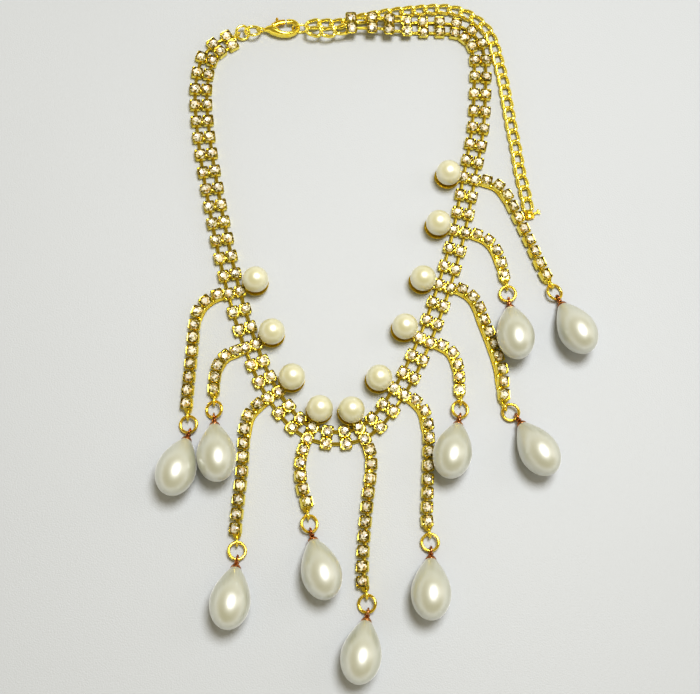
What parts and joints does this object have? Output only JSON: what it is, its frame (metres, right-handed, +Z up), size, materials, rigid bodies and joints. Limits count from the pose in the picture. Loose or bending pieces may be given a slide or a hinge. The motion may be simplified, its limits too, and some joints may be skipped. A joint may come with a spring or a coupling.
{
  "type": "layered choker necklace",
  "caption": "Layered choker lying flat: a rhinestone cup-chain collar, round pearls, hanging strands ending in teardrop pearls, a lobster clasp and an extension chain.",
  "frame": {"origin": "the middle of the necklace's box seen from above, on the surface that it lies on", "axes": "+Z up from the surface, out of the necklace's face; +Y from its front towards its clasp; +X towards the side along which the extension chain lies"},
  "size_m": [0.1174, 0.1925, 0.0107],
  "materials": {
    "gold": "polished gold plating, with clear stones in claw cups on the collar and the strands",
    "rose_gold": "polished rose gold plating",
    "pearl": "glossy cream pearl"
  },
  "bodies": {
    "necklace": {"collar": "gold", "strand_1": "gold", "pearl_1": "pearl", "drop_ring_1": "gold", "drop_cap_1": "rose_gold", "drop_1": "pearl", "strand_2": "gold", "pearl_2": "pearl", "drop_ring_2": "gold", "drop_cap_2": "rose_gold", "drop_2": "pearl", "strand_3": "gold", "pearl_3": "pearl", "drop_ring_3": "gold", "drop_cap_3": "rose_gold", "drop_3": "pearl", "strand_4": "gold", "pearl_4": "pearl", "drop_ring_4": "gold", "drop_cap_4": "rose_gold", "drop_4": "pearl", "strand_5": "gold", "pearl_5": "pearl", "drop_ring_5": "gold", "drop_cap_5": "rose_gold", "drop_5": "pearl", "strand_6": "gold", "pearl_6": "pearl", "drop_ring_6": "gold", "drop_cap_6": "rose_gold", "drop_6": "pearl", "strand_7": "gold", "pearl_7": "pearl", "drop_ring_7": "gold", "drop_cap_7": "rose_gold", "drop_7": "pearl", "strand_8": "gold", "pearl_8": "pearl", "drop_ring_8": "gold", "drop_cap_8": "rose_gold", "drop_8": "pearl", "strand_9": "gold", "pearl_9": "pearl", "drop_ring_9": "gold", "drop_cap_9": "rose_gold", "drop_9": "pearl", "strand_10": "gold", "pearl_10": "pearl", "drop_ring_10": "gold", "drop_cap_10": "rose_gold", "drop_10": "pearl", "clasp_ring_1": "gold", "clasp_ring_2": "gold", "clasp_body": "gold", "extension_chain": "gold", "extension_end": "gold"},
    "lever": {"clasp_lever": "gold"}
  },
  "joints": [
    {"name": "clasp_lever_hinge", "type": "hinge", "parent": "necklace", "child": "lever", "pos_m": [-0.02805, 0.08737, 0.0015], "axis": [0, 0, 1], "range_deg": [-26, 0], "stiffness_Nm_per_rad": 0.002, "springref_deg": 14.9}
  ]
}
